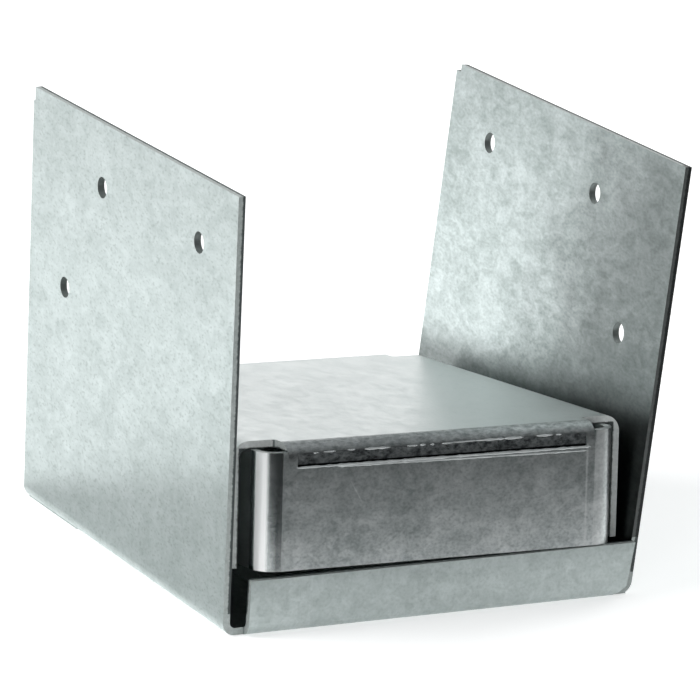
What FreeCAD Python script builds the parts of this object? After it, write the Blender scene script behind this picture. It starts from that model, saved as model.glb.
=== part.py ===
"""Elevated timber post base: a folded base bracket, a folded standoff pan and a square bearing plate.

Frame: +Z up, +X across the two legs, -Y towards the front lip. The origin is the middle of the
base bracket's underside, which stands on the concrete. Millimetres.
"""
import FreeCAD, Part
import math
import os
import Sketcher

from FreeCAD import Placement, Rotation, Vector

# name, value or formula, what it is
SIZES = [
    ("sheet", 1.5, "thickness of the galvanised sheet"),
    ("post_width", 90.5, "clear width between the legs at the floor"),
    ("side_play", 1.7, "how much narrower the pan is than the space between the legs"),
    ("pan_width", "=post_width - side_play", "outside width of the standoff pan"),
    ("pan_depth", 91.6, "outside depth of the standoff pan"),
    ("end_play", 4.4, "how much deeper the legs are than the pan"),
    ("leg_depth", "=pan_depth + end_play", "front to back size of each leg"),
    ("leg_height", 89.5, "height of the legs above the concrete"),
    ("base_bend", 1.2, "inside radius of the bracket's bends"),
    ("left_lean", 1.2, "outward lean of the left leg, degrees"),
    ("right_lean", 4.3, "outward lean of the right leg, degrees"),
    ("lip_height", 11.7, "height of the end lips above the concrete"),
    ("lip_standout", 2.4, "how far a lip's outer face stands out past the legs"),
    ("near_inset", 3.05, "from the leg's inner face to the lip's upright end"),
    ("lip_near", "=post_width / 2 - near_inset", "lip's upright end, from the middle"),
    ("far_inset", 1.15, "from the leg's inner face to the foot of the lip's flared end"),
    ("lip_far", "=post_width / 2 - far_inset", "foot of the lip's flared end, from the middle"),
    ("lip_flare", 1.3, "how far the flared end leans out at its top"),
    ("lip_corner", 2.6, "cut across the flared end's bottom corner"),
    ("slot_width", 14.3, "width of the anchor bolt slot"),
    ("slot_length", 38.0, "whole length of the anchor bolt slot"),
    ("nail_hole", 4.4, "diameter of the nail holes"),
    ("upper_drop", 13.3, "from a leg's top down to its upper nail holes"),
    ("upper_row", "=leg_height - upper_drop", "height of the upper nail holes, along the leg"),
    ("row_pitch", 25.4, "from the upper nail holes down to the lower one"),
    ("lower_row", "=upper_row - row_pitch", "height of the lower nail hole, along the leg"),
    ("upper_inner", 14.3, "upper nail hole nearer the middle"),
    ("upper_outer", 30.7, "upper nail hole nearer the edge"),
    ("lower_outer", 31.0, "lower nail hole"),
    ("holes_forward", 0.7, "how far the nail pattern sits in front of the leg's middle"),
    ("left_nick_height", 3.0, "height of the nick at the left leg's back top corner"),
    ("left_nick_depth", 0.7, "depth of that nick"),
    ("right_nick_height", 1.6, "height of the nick at the right leg's back top corner"),
    ("right_nick_depth", 1.8, "depth of that nick"),
    ("pan_height", 25.4, "height of the standoff pan"),
    ("pan_bend", 2.0, "inside radius of the pan's bends"),
    ("side_setback", 6.2, "from the pan's front face to the cut end of a side flange"),
    ("relief_radius", 0.8, "radius in the corners of the pan's relief slots"),
    ("fold_inset", 9.3, "from the pan's side to the end of its front or back fold"),
    ("fold_width", "=pan_width - 2 * fold_inset", "width of the fold at each end of the pan"),
    ("ear_clearance", 0.1, "gap between an ear's top and the deck over it"),
    ("ear_height", "=pan_height - sheet - ear_clearance", "height of the ears that wrap the corners"),
    ("ear_length", 11.0, "how far an ear reaches back inside the side flange"),
    ("ear_bend", 2.9, "inside radius of the ear's bend"),
    ("ear_gap", 2.2, "gap between an ear and its side flange"),
    ("wipe_depth", 0.3, "depth of the band that the die wiped into the front fold"),
    ("wipe_drop", 4.7, "from the deck's top down to the wiped band's lower edge"),
    ("wipe_foot", "=pan_height - wipe_drop", "height of the wiped band's lower edge"),
    ("wipe_inset", 2.0, "from the end of the fold to the end of the wiped band"),
    ("wipe_width", "=fold_width - 2 * wipe_inset", "width of the wiped band"),
    ("pan_shift", -0.3, "how far the loose pan lies to the right of the middle"),
    ("pan_yaw", 0.6, "turn of the loose pan, degrees"),
    ("pan_roll", 1.1, "sideways tilt of the loose pan, degrees"),
    ("lip_bearing", 1.1, "how far the pan's front edge bears on the lip"),
    ("seat_gap", 0.05, "gap left under the loose pan"),
    ("plate_size", 57.0, "side of the square bearing plate"),
    ("plate_thickness", 3.0, "thickness of the bearing plate"),
    ("bolt_hole", 14.3, "diameter of the bearing plate's bolt hole"),
]


def add_sizes(doc):
    """The sizes, one row each: name, value or formula, and meaning."""
    sheet = doc.addObject("Spreadsheet::Sheet", "sizes")
    for row, (alias, value, meaning) in enumerate(SIZES, start=1):
        sheet.set(f"A{row}", alias)
        sheet.set(f"B{row}", str(value))
        sheet.set(f"C{row}", meaning)
        sheet.setAlias(f"B{row}", alias)
    doc.recompute()
    return sheet


def new_body(doc, label):
    body = doc.addObject("PartDesign::Body", label)
    body.Label = label
    return body


def origin_feature(body, role):
    """One of the body's own origin planes or axes, such as XZ_Plane."""
    for feature in body.Origin.OriginFeatures:
        if feature.Role == role:
            return feature
    raise LookupError(role)


def new_sketch(body, name, plane, offset=None):
    """A sketch on one of the body's origin planes, or moved along that plane's normal."""
    sketch = body.newObject("Sketcher::SketchObject", name)
    sketch.AttachmentSupport = [(origin_feature(body, plane), "")]
    sketch.MapMode = "FlatFace"
    if offset is not None:
        sketch.setExpression(".AttachmentOffset.Base.z", offset)
    return sketch


def bind(sketch, name, kind, where, expression):
    """Adds a dimension to the sketch and ties it to the sizes."""
    value = sketch.evalExpression(expression)
    if kind == "Angle":
        value = value.getValueAs("rad")
    index = sketch.addConstraint(Sketcher.Constraint(kind, *where, value))
    sketch.renameConstraint(index, name)
    sketch.setExpression(f"Constraints.{name}", expression)


def rule(sketch, *arguments):
    """Adds a relation that has no size, such as Tangent or Horizontal."""
    sketch.addConstraint(Sketcher.Constraint(*arguments))


def closed_outline(sketch, points):
    """Straight lines through the points and back to the first, joined end to end."""
    vectors = [Vector(x, y, 0) for x, y in points]
    lines = []
    for start, end in zip(vectors, vectors[1:] + vectors[:1]):
        lines.append(sketch.addGeometry(Part.LineSegment(start, end)))
    for first, second in zip(lines, lines[1:] + lines[:1]):
        rule(sketch, "Coincident", first, 2, second, 1)
    return lines


def rectangle(sketch, left, bottom, right, top):
    """An upright rectangle: its bottom, right, top and left sides."""
    lines = closed_outline(sketch, [(left, bottom), (right, bottom), (right, top), (left, top)])
    for line, direction in zip(lines, ("Horizontal", "Vertical", "Horizontal", "Vertical")):
        rule(sketch, direction, line)
    return lines


def pad(body, sketch, name, length, symmetric=False, reverse=False):
    feature = body.newObject("PartDesign::Pad", name)
    feature.Profile = sketch
    feature.SideType = "Symmetric" if symmetric else "One side"
    feature.Reversed = reverse
    feature.setExpression("Length", length)
    return feature


def pocket(body, sketch, name, length, symmetric=False, reverse=False):
    """A cut, which must take something away."""
    body.Document.recompute()
    before = body.Shape.Volume
    feature = body.newObject("PartDesign::Pocket", name)
    feature.Profile = sketch
    feature.SideType = "Symmetric" if symmetric else "One side"
    feature.Reversed = reverse
    feature.setExpression("Length", length)
    body.Document.recompute()
    if body.Shape.Volume >= before:
        raise RuntimeError(f"{name} cuts nothing")
    return feature


def turned_copy(body, name, features):
    """The same features again at the other end, turned half a turn about the upright axis."""
    pattern = body.newObject("PartDesign::PolarPattern", name)
    pattern.Originals = features
    pattern.Axis = (origin_feature(body, "Z_Axis"), [""])
    pattern.Angle = 360
    pattern.Occurrences = 2
    body.Tip = pattern
    return pattern


class Strip:
    """The outline of a bent strip of sheet, drawn from the sharp corners of its outer face.

    The path along the outer face always turns left, so the inner face lies on its left. Straight
    runs meet the bends at a tangent, and the arcs of one bend share their centre.
    """

    def __init__(self, sketch, name, corners, thickness, radius):
        self.sketch = sketch
        self.name = name
        points = [Vector(x, y, 0) for x, y in corners]
        along = [(b - a).normalize() for a, b in zip(points, points[1:])]
        inward = [Vector(-d.y, d.x, 0) for d in along]
        outer_radius = radius + thickness
        starts, ends, centres = [points[0]], [], []
        for index in range(1, len(along)):
            turn = along[index - 1].getAngle(along[index])
            setback = outer_radius * math.tan(turn / 2)
            ends.append(points[index] - along[index - 1] * setback)
            starts.append(points[index] + along[index] * setback)
            centres.append(ends[-1] + inward[index - 1] * outer_radius)
        ends.append(points[-1])
        self.outer, self.inner, self.outer_arcs, self.inner_arcs = [], [], [], []
        for a, b, side in zip(starts, ends, inward):
            self.outer.append(self.add(Part.LineSegment(a, b)))
            self.inner.append(self.add(Part.LineSegment(b + side * thickness, a + side * thickness)))
        for index, centre in enumerate(centres):
            first = math.atan2(-inward[index].y, -inward[index].x)
            last = math.atan2(-inward[index + 1].y, -inward[index + 1].x)
            for arcs, size in ((self.outer_arcs, outer_radius), (self.inner_arcs, radius)):
                circle = Part.Circle(centre, Vector(0, 0, 1), size)
                arcs.append(self.add(Part.ArcOfCircle(circle, first, last)))
        self.start_cap = self.add(Part.LineSegment(starts[0] + inward[0] * thickness, starts[0]))
        self.end_cap = self.add(Part.LineSegment(ends[-1], ends[-1] + inward[-1] * thickness))
        self.tie()

    def add(self, geometry):
        return self.sketch.addGeometry(geometry, False)

    def rule(self, *arguments):
        rule(self.sketch, *arguments)

    def tie(self):
        for index, (outer_arc, inner_arc) in enumerate(zip(self.outer_arcs, self.inner_arcs)):
            self.rule("Tangent", self.outer[index], 2, outer_arc, 1)
            self.rule("Tangent", outer_arc, 2, self.outer[index + 1], 1)
            self.rule("Tangent", self.inner[index], 1, inner_arc, 1)
            self.rule("Tangent", inner_arc, 2, self.inner[index + 1], 2)
            self.rule("Coincident", outer_arc, 3, inner_arc, 3)
        for outer_arc, inner_arc in zip(self.outer_arcs[1:], self.inner_arcs[1:]):
            self.rule("Equal", self.outer_arcs[0], outer_arc)
            self.rule("Equal", self.inner_arcs[0], inner_arc)
        self.rule("Coincident", self.start_cap, 1, self.inner[0], 2)
        self.rule("Coincident", self.start_cap, 2, self.outer[0], 1)
        self.rule("Coincident", self.end_cap, 1, self.outer[-1], 2)
        self.rule("Coincident", self.end_cap, 2, self.inner[-1], 1)
        self.rule("Perpendicular", self.start_cap, self.outer[0])
        self.rule("Perpendicular", self.end_cap, self.outer[-1])
        self.rule("Parallel", self.inner[0], self.outer[0])
        self.rule("Parallel", self.inner[-1], self.outer[-1])

    def size(self, thickness, radius):
        self.bind("thickness", "Distance", (self.start_cap,), thickness)
        self.bind("radius", "Radius", (self.inner_arcs[0],), radius)

    def bind(self, what, kind, where, expression):
        bind(self.sketch, f"{self.name}_{what}", kind, where, expression)


# ---------------------------------------------------------------- base bracket


def channel(body, sizes):
    """The floor and the two legs, as one bent strip seen from the front."""
    sheet = sizes.sheet
    half = sizes.post_width / 2 + sheet
    height = sizes.leg_height
    left_top = (-half - height * math.tan(math.radians(sizes.left_lean)), height)
    right_top = (half + height * math.tan(math.radians(sizes.right_lean)), height)
    sketch = new_sketch(body, "channel_section", "XZ_Plane")
    strip = Strip(sketch, "channel", [left_top, (-half, 0), (half, 0), right_top], sheet, sizes.base_bend)
    strip.size("sizes.sheet", "sizes.base_bend")
    strip.rule("PointOnObject", strip.outer[1], 1, -1)
    strip.rule("Symmetric", strip.inner_arcs[0], 3, strip.inner_arcs[1], 3, -2)
    centres = (strip.inner_arcs[0], 3, strip.inner_arcs[1], 3)
    strip.bind("width", "DistanceX", centres, "sizes.post_width - 2 * sizes.base_bend")
    strip.bind("left_lean", "Angle", (strip.inner[0],), "90 deg + sizes.left_lean * 1 deg")
    strip.bind("right_lean", "Angle", (strip.outer[2],), "90 deg - sizes.right_lean * 1 deg")
    strip.bind("left_height", "DistanceY", (-1, 1, strip.outer[0], 1), "sizes.leg_height")
    strip.bind("right_height", "DistanceY", (-1, 1, strip.outer[2], 2), "sizes.leg_height")
    return pad(body, sketch, "channel", "sizes.leg_depth", symmetric=True)


def lip(body, sizes):
    """The front lip with its strip of floor, seen from the side and as long as its widest part."""
    face = -(sizes.leg_depth / 2 + sizes.lip_standout)
    root = -sizes.leg_depth / 4
    sketch = new_sketch(body, "lip_section", "YZ_Plane", "-sizes.lip_near")
    corners = [(face, sizes.lip_height), (face, 0), (root, 0)]
    strip = Strip(sketch, "lip", corners, sizes.sheet, sizes.base_bend)
    strip.size("sizes.sheet", "sizes.base_bend")
    strip.rule("Vertical", strip.outer[0])
    strip.rule("Horizontal", strip.outer[1])
    strip.rule("PointOnObject", strip.outer[1], 2, -1)
    strip.bind("height", "DistanceY", (-1, 1, strip.outer[0], 1), "sizes.lip_height")
    strip.bind("face", "DistanceX", (strip.outer[0], 1, -1, 1), "sizes.leg_depth / 2 + sizes.lip_standout")
    strip.bind("root", "DistanceX", (strip.outer[1], 2, -1, 1), "sizes.leg_depth / 4")
    return pad(body, sketch, "lip", "sizes.lip_near + sizes.lip_far + sizes.lip_flare")


def lip_end(body, sizes):
    """Trims the lip's flared end: a sloping edge and a cut across the bottom corner."""
    foot = sizes.lip_far
    top = foot + sizes.lip_flare
    corner = sizes.lip_corner
    height = sizes.lip_height
    sketch = new_sketch(body, "lip_end", "XZ_Plane", "sizes.leg_depth / 2")
    points = [(foot - corner, 0), (foot, corner), (top, height), (top + corner, height), (top + corner, 0)]
    cut, slope, upper, outside, lower = closed_outline(sketch, points)
    rule(sketch, "Horizontal", upper)
    rule(sketch, "Vertical", outside)
    rule(sketch, "Horizontal", lower)
    rule(sketch, "PointOnObject", cut, 1, -1)
    bind(sketch, "corner_width", "DistanceX", (cut, 1, cut, 2), "sizes.lip_corner")
    bind(sketch, "corner_height", "DistanceY", (cut, 1, cut, 2), "sizes.lip_corner")
    bind(sketch, "foot", "DistanceX", (-1, 1, slope, 1), "sizes.lip_far")
    bind(sketch, "flare", "DistanceX", (slope, 1, slope, 2), "sizes.lip_flare")
    bind(sketch, "top", "DistanceY", (-1, 1, slope, 2), "sizes.lip_height")
    bind(sketch, "spare", "DistanceX", (upper, 1, upper, 2), "sizes.lip_corner")
    return pocket(body, sketch, "lip_end_cut", "2 * sizes.lip_standout", reverse=True)


def obround(sketch, length, width):
    """A slot across the middle of the sketch, along its first axis."""
    radius = width / 2
    reach = length / 2 - radius
    quarter = math.pi / 2
    upright = Vector(0, 0, 1)
    right_end = Part.Circle(Vector(reach, 0, 0), upright, radius)
    left_end = Part.Circle(Vector(-reach, 0, 0), upright, radius)
    right = sketch.addGeometry(Part.ArcOfCircle(right_end, -quarter, quarter))
    left = sketch.addGeometry(Part.ArcOfCircle(left_end, quarter, 3 * quarter))
    back = sketch.addGeometry(Part.LineSegment(Vector(reach, radius, 0), Vector(-reach, radius, 0)))
    front = sketch.addGeometry(Part.LineSegment(Vector(-reach, -radius, 0), Vector(reach, -radius, 0)))
    for first, second in ((right, back), (back, left), (left, front), (front, right)):
        rule(sketch, "Tangent", first, 2, second, 1)
    rule(sketch, "Symmetric", right, 3, left, 3, -1, 1)
    rule(sketch, "PointOnObject", right, 3, -1)
    return left, right


def anchor_slot(body, sizes):
    """The slot in the floor that lets the bracket slide on its anchor bolt."""
    sketch = new_sketch(body, "anchor_slot", "XY_Plane")
    left, right = obround(sketch, sizes.slot_length, sizes.slot_width)
    rule(sketch, "Equal", left, right)
    bind(sketch, "radius", "Radius", (right,), "sizes.slot_width / 2")
    bind(sketch, "between", "DistanceX", (left, 3, right, 3), "sizes.slot_length - sizes.slot_width")
    return pocket(body, sketch, "anchor_slot_cut", "sizes.sheet", reverse=True)


def nail_holes(sketch, sizes, side):
    """Three holes, whose pattern on one leg is the other's turned half a turn about the upright axis."""
    holes = [
        ("upper_inner", -side, "upper_row"),
        ("upper_outer", side, "upper_row"),
        ("lower_outer", -side, "lower_row"),
    ]
    circles = []
    for name, way, row in holes:
        along = way * getattr(sizes, name) - sizes.holes_forward
        middle = Vector(along, getattr(sizes, row), 0)
        circle = sketch.addGeometry(Part.Circle(middle, Vector(0, 0, 1), sizes.nail_hole / 2))
        circles.append(circle)
        if way > 0:
            bind(sketch, f"{name}_along", "DistanceX", (-1, 1, circle, 3), f"sizes.{name} - sizes.holes_forward")
        else:
            bind(sketch, f"{name}_along", "DistanceX", (circle, 3, -1, 1), f"sizes.{name} + sizes.holes_forward")
        bind(sketch, f"{name}_up", "DistanceY", (-1, 1, circle, 3), f"sizes.{row}")
    bind(sketch, "hole", "Diameter", (circles[0],), "sizes.nail_hole")
    for circle in circles[1:]:
        rule(sketch, "Equal", circles[0], circle)


def corner_nick(sketch, sizes, name):
    """The small step at the leg's back top corner, where two blanks were parted from the strip."""
    depth = getattr(sizes, f"{name}_nick_depth")
    height = getattr(sizes, f"{name}_nick_height")
    edge = sizes.leg_depth / 2
    top = sizes.leg_height / math.cos(math.radians(getattr(sizes, f"{name}_lean")))
    lines = rectangle(sketch, edge - depth, top - height, edge + depth, top + height)
    length = f"sizes.leg_height / cos(sizes.{name}_lean * 1 deg)"
    corner = (-1, 1, lines[0], 1)
    bind(sketch, "nick_left", "DistanceX", corner, f"sizes.leg_depth / 2 - sizes.{name}_nick_depth")
    bind(sketch, "nick_bottom", "DistanceY", corner, f"{length} - sizes.{name}_nick_height")
    bind(sketch, "nick_width", "DistanceX", (lines[0], 1, lines[0], 2), f"2 * sizes.{name}_nick_depth")
    bind(sketch, "nick_height", "DistanceY", (lines[1], 1, lines[1], 2), f"2 * sizes.{name}_nick_height")


def leg_cuts(body, sizes, side):
    """The cuts of one leg, drawn on its own slope with the first axis running from front to back.

    side is -1 for the left leg and 1 for the right one.
    """
    name = "left" if side < 0 else "right"
    sign = "-" if side < 0 else ""
    sketch = new_sketch(body, f"{name}_leg_cuts", "YZ_Plane", f"{sign}(sizes.post_width / 2 + sizes.sheet)")
    slope = Rotation(Vector(1, 0, 0), 1)
    sketch.AttachmentOffset = Placement(sketch.AttachmentOffset.Base, slope)
    sketch.setExpression(".AttachmentOffset.Rotation.Angle", f"{sign}sizes.{name}_lean * 1 deg")
    nail_holes(sketch, sizes, side)
    corner_nick(sketch, sizes, name)
    return pocket(body, sketch, f"{name}_leg_cut", "4 * sizes.sheet", symmetric=True)


def base_bracket(doc, sizes):
    body = new_body(doc, "base_bracket")
    channel(body, sizes)
    front_lip = lip(body, sizes)
    front_end = lip_end(body, sizes)
    turned_copy(body, "back_lip", [front_lip, front_end])
    doc.recompute()
    anchor_slot(body, sizes)
    leg_cuts(body, sizes, -1)
    leg_cuts(body, sizes, 1)
    return body


# ---------------------------------------------------------------- standoff pan


def pan_top(body, sizes):
    """The raised deck and its two side flanges, as one bent strip seen from the front."""
    half = sizes.pan_width / 2
    height = sizes.pan_height
    sketch = new_sketch(body, "deck_section", "XZ_Plane")
    corners = [(half, 0), (half, height), (-half, height), (-half, 0)]
    strip = Strip(sketch, "deck", corners, sizes.sheet, sizes.pan_bend)
    strip.size("sizes.sheet", "sizes.pan_bend")
    strip.rule("Vertical", strip.outer[0])
    strip.rule("Horizontal", strip.outer[1])
    strip.rule("Vertical", strip.outer[2])
    strip.rule("PointOnObject", strip.outer[0], 1, -1)
    strip.rule("Symmetric", strip.outer[0], 1, strip.outer[2], 2, -2)
    strip.bind("width", "DistanceX", (strip.outer[2], 2, strip.outer[0], 1), "sizes.pan_width")
    strip.bind("height", "DistanceY", (-1, 1, strip.outer[1], 1), "sizes.pan_height")
    return pad(body, sketch, "deck", "sizes.pan_depth - 2 * sizes.side_setback", symmetric=True)


def end_flange(body, sizes):
    """The front flange and its fold from the deck, seen from the side."""
    face = -sizes.pan_depth / 2
    root = -sizes.pan_depth / 4
    sketch = new_sketch(body, "flange_section", "YZ_Plane")
    corners = [(root, sizes.pan_height), (face, sizes.pan_height), (face, 0)]
    strip = Strip(sketch, "flange", corners, sizes.sheet, sizes.pan_bend)
    strip.size("sizes.sheet", "sizes.pan_bend")
    strip.rule("Horizontal", strip.outer[0])
    strip.rule("Vertical", strip.outer[1])
    strip.rule("PointOnObject", strip.outer[1], 2, -1)
    strip.bind("height", "DistanceY", (-1, 1, strip.outer[0], 1), "sizes.pan_height")
    strip.bind("face", "DistanceX", (strip.outer[1], 2, -1, 1), "sizes.pan_depth / 2")
    strip.bind("root", "DistanceX", (strip.outer[0], 1, -1, 1), "sizes.pan_depth / 4")
    return pad(body, sketch, "front_flange", "sizes.fold_width", symmetric=True)


def ears(body, sizes):
    """The flange's two ears, seen from above: each wraps its corner inside the side flange."""
    side = sizes.pan_width / 2 - sizes.sheet - sizes.ear_gap
    face = -sizes.pan_depth / 2
    inner = sizes.fold_width / 2
    tail = face + sizes.ear_length
    sketch = new_sketch(body, "ear_section", "XY_Plane")
    right = Strip(sketch, "right", [(inner, face), (side, face), (side, tail)], sizes.sheet, sizes.ear_bend)
    left = Strip(sketch, "left", [(-side, tail), (-side, face), (-inner, face)], sizes.sheet, sizes.ear_bend)
    right_front, right_ear = right.outer
    left_ear, left_front = left.outer
    for strip, front, ear in ((right, right_front, right_ear), (left, left_front, left_ear)):
        strip.size("sizes.sheet", "sizes.ear_bend")
        strip.rule("Horizontal", front)
        strip.rule("Vertical", ear)
        strip.bind("face", "DistanceY", (front, 1, -1, 1), "sizes.pan_depth / 2")
    side_size = "sizes.pan_width / 2 - sizes.sheet - sizes.ear_gap"
    tail_size = "sizes.pan_depth / 2 - sizes.ear_length"
    right.bind("root", "DistanceX", (-1, 1, right_front, 1), "sizes.fold_width / 2")
    right.bind("side", "DistanceX", (-1, 1, right_ear, 2), side_size)
    right.bind("tail", "DistanceY", (right_ear, 2, -1, 1), tail_size)
    left.bind("root", "DistanceX", (left_front, 2, -1, 1), "sizes.fold_width / 2")
    left.bind("side", "DistanceX", (left_ear, 1, -1, 1), side_size)
    left.bind("tail", "DistanceY", (left_ear, 1, -1, 1), tail_size)
    return pad(body, sketch, "ears", "sizes.ear_height")


def relief_corners(body, sizes):
    """Rounds the corner where each relief slot meets the end of its fold, seen from above."""
    radius = sizes.relief_radius
    across = sizes.fold_width / 2
    along = -(sizes.pan_depth / 2 - sizes.side_setback)
    sketch = new_sketch(body, "relief_corners", "XY_Plane", "sizes.pan_height - sizes.sheet")
    for name, side in (("right", 1), ("left", -1)):
        corner = Vector(side * across, along, 0)
        cut_end = Vector(side * (across + radius), along, 0)
        fold_end = Vector(side * across, along - radius, 0)
        circle = Part.Circle(Vector(cut_end.x, fold_end.y, 0), Vector(0, 0, 1), radius)
        angles = (math.pi / 2, math.pi) if side > 0 else (0, math.pi / 2)
        cut_edge = sketch.addGeometry(Part.LineSegment(corner, cut_end))
        fold_edge = sketch.addGeometry(Part.LineSegment(corner, fold_end))
        arc = sketch.addGeometry(Part.ArcOfCircle(circle, *angles))
        cut_point, fold_point = (1, 2) if side > 0 else (2, 1)
        rule(sketch, "Coincident", cut_edge, 1, fold_edge, 1)
        rule(sketch, "Horizontal", cut_edge)
        rule(sketch, "Vertical", fold_edge)
        rule(sketch, "Tangent", cut_edge, 2, arc, cut_point)
        rule(sketch, "Tangent", fold_edge, 2, arc, fold_point)
        where = (-1, 1, cut_edge, 1) if side > 0 else (cut_edge, 1, -1, 1)
        bind(sketch, f"{name}_across", "DistanceX", where, "sizes.fold_width / 2")
        bind(sketch, f"{name}_along", "DistanceY", (cut_edge, 1, -1, 1), "sizes.pan_depth / 2 - sizes.side_setback")
        bind(sketch, f"{name}_radius", "Radius", (arc,), "sizes.relief_radius")
    return pad(body, sketch, "relief_corner", "sizes.sheet")


def wiped_band(body, sizes):
    """The shallow band that the folding die wiped into the front fold."""
    half = sizes.wipe_width / 2
    sketch = new_sketch(body, "wiped_band", "XZ_Plane", "sizes.pan_depth / 2 - sizes.wipe_depth")
    lines = rectangle(sketch, -half, sizes.wipe_foot, half, sizes.pan_height)
    bind(sketch, "left", "DistanceX", (lines[0], 1, -1, 1), "sizes.wipe_width / 2")
    bind(sketch, "right", "DistanceX", (-1, 1, lines[0], 2), "sizes.wipe_width / 2")
    bind(sketch, "foot", "DistanceY", (-1, 1, lines[0], 1), "sizes.wipe_foot")
    bind(sketch, "top", "DistanceY", (-1, 1, lines[2], 1), "sizes.pan_height")
    return pocket(body, sketch, "wiped_band_cut", "2 * sizes.wipe_depth", reverse=True)


def pan_placement(sizes):
    """Where the loose pan lies: its front edge up on the lip and its back edge down on the floor.

    It lies turned and tipped a little to the right, so it bears at its right front corner on the lip
    and at its right back corner on the floor.
    """
    rise = sizes.lip_height - sizes.sheet
    roll = math.radians(sizes.pan_roll)
    pitch = math.degrees(math.asin(rise / (sizes.pan_depth * math.cos(roll))))
    turn = Rotation(sizes.pan_yaw, sizes.pan_roll, -pitch)
    corner_x = sizes.pan_width / 2 - sizes.ear_gap - 2 * sizes.sheet - sizes.ear_bend
    bearing = turn.multVec(Vector(corner_x, sizes.lip_bearing - sizes.pan_depth / 2, 0))
    lip_inner = -(sizes.leg_depth / 2 + sizes.lip_standout - sizes.sheet)
    place_y = lip_inner - bearing.y
    place_z = sizes.lip_height + sizes.seat_gap - bearing.z
    return Placement(Vector(sizes.pan_shift, place_y, place_z), turn)


def standoff_pan(doc, sizes):
    body = new_body(doc, "standoff_pan")
    pan_top(body, sizes)
    flange = end_flange(body, sizes)
    wraps = ears(body, sizes)
    corners = relief_corners(body, sizes)
    turned_copy(body, "back_flange", [flange, wraps, corners])
    doc.recompute()
    wiped_band(body, sizes)
    body.Placement = pan_placement(sizes)
    return body


# ---------------------------------------------------------------- bearing plate


def bearing_plate(doc, sizes):
    """The square washer that bridges the slot under the anchor bolt's nut, lying on the floor."""
    body = new_body(doc, "bearing_plate")
    sketch = new_sketch(body, "plate_outline", "XY_Plane", "sizes.sheet")
    half = sizes.plate_size / 2
    lines = rectangle(sketch, -half, -half, half, half)
    rule(sketch, "Symmetric", lines[0], 1, lines[1], 2, -1, 1)
    rule(sketch, "Equal", lines[0], lines[1])
    bind(sketch, "side", "DistanceX", (lines[0], 1, lines[0], 2), "sizes.plate_size")
    hole = sketch.addGeometry(Part.Circle(Vector(), Vector(0, 0, 1), sizes.bolt_hole / 2))
    rule(sketch, "Coincident", hole, 3, -1, 1)
    bind(sketch, "hole", "Diameter", (hole,), "sizes.bolt_hole")
    pad(body, sketch, "plate", "sizes.plate_thickness")
    return body


# ---------------------------------------------------------------- checks and files


def check(doc, bodies):
    """Stops on any failed feature, loose sketch or bad solid."""
    for item in doc.Objects:
        if "Invalid" in item.State or "Error" in item.State:
            raise RuntimeError(f"{item.Name} failed: {item.State}")
        if item.isDerivedFrom("Sketcher::SketchObject") and not item.FullyConstrained:
            raise RuntimeError(f"{item.Name} isn't fully constrained")
    for body in bodies:
        if body.Shape.isNull() or not body.Shape.isValid() or len(body.Shape.Solids) != 1:
            raise RuntimeError(f"{body.Label} isn't one valid solid")


def main():
    doc = FreeCAD.newDocument("post_base")
    sizes = add_sizes(doc)
    bodies = [base_bracket(doc, sizes), standoff_pan(doc, sizes), bearing_plate(doc, sizes)]
    doc.recompute()
    check(doc, bodies)
    os.makedirs("parts", exist_ok=True)
    for body in bodies:
        body.Shape.exportStep(f"parts/{body.Label}.step")
        box = body.Shape.BoundBox
        print(f"{body.Label}: {body.Shape.Volume:.0f} mm3, box {box}")


main()
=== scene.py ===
# %% [markdown]
# # A timber post base in galvanised steel
# A post base keeps the foot of a timber post off wet concrete. This one has three pieces: a
# folded base bracket, a loose standoff pan that lies tipped inside it, and a square bearing plate
# hidden under the pan. Their shapes come in as finished solid parts, so this lesson is about
# their looks: how mill galvanised sheet looks, how its cut edges and its folds differ from it,
# and how plain studio light shows that.

# %% Load the parts
import math
import random

import bmesh
import bpy
from mathutils import Euler, Matrix, Vector


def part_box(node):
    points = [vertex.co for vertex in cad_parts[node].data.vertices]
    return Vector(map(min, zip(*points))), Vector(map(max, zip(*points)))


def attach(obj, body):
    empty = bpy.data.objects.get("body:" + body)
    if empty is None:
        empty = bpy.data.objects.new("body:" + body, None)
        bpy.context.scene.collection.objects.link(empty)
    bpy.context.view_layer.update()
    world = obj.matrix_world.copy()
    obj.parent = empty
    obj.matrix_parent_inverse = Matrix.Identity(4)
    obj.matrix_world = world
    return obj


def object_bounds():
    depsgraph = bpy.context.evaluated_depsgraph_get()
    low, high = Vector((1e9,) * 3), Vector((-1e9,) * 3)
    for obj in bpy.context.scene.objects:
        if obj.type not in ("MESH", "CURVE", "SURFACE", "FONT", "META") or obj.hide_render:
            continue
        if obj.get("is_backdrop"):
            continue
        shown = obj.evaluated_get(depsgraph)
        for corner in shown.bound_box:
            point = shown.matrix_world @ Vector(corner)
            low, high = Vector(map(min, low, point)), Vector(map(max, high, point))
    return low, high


MM = 0.001  # Blender counts in metres

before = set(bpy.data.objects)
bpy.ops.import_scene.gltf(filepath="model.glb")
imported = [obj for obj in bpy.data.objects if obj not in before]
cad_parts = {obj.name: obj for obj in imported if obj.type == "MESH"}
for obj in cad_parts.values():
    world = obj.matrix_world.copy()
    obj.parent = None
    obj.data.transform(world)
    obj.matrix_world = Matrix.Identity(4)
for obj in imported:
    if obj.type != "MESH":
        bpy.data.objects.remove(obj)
cad_low, cad_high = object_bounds()
print("parts:", sorted(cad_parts))
print("size in mm:", [round(side / MM, 1) for side in cad_high - cad_low])

# %% [markdown]
# ## The camera
# The bracket is seen from its front left, a little from above, through a long lens: from more
# than a metre away the far edges are hardly shorter than the near ones. A camera could be placed
# by hand and turned until the view looks right. Here it is placed by the point it looks at, its
# compass angle, its height angle and its distance, and then rolled a little, because those five
# can each be changed without spoiling the others.

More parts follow.
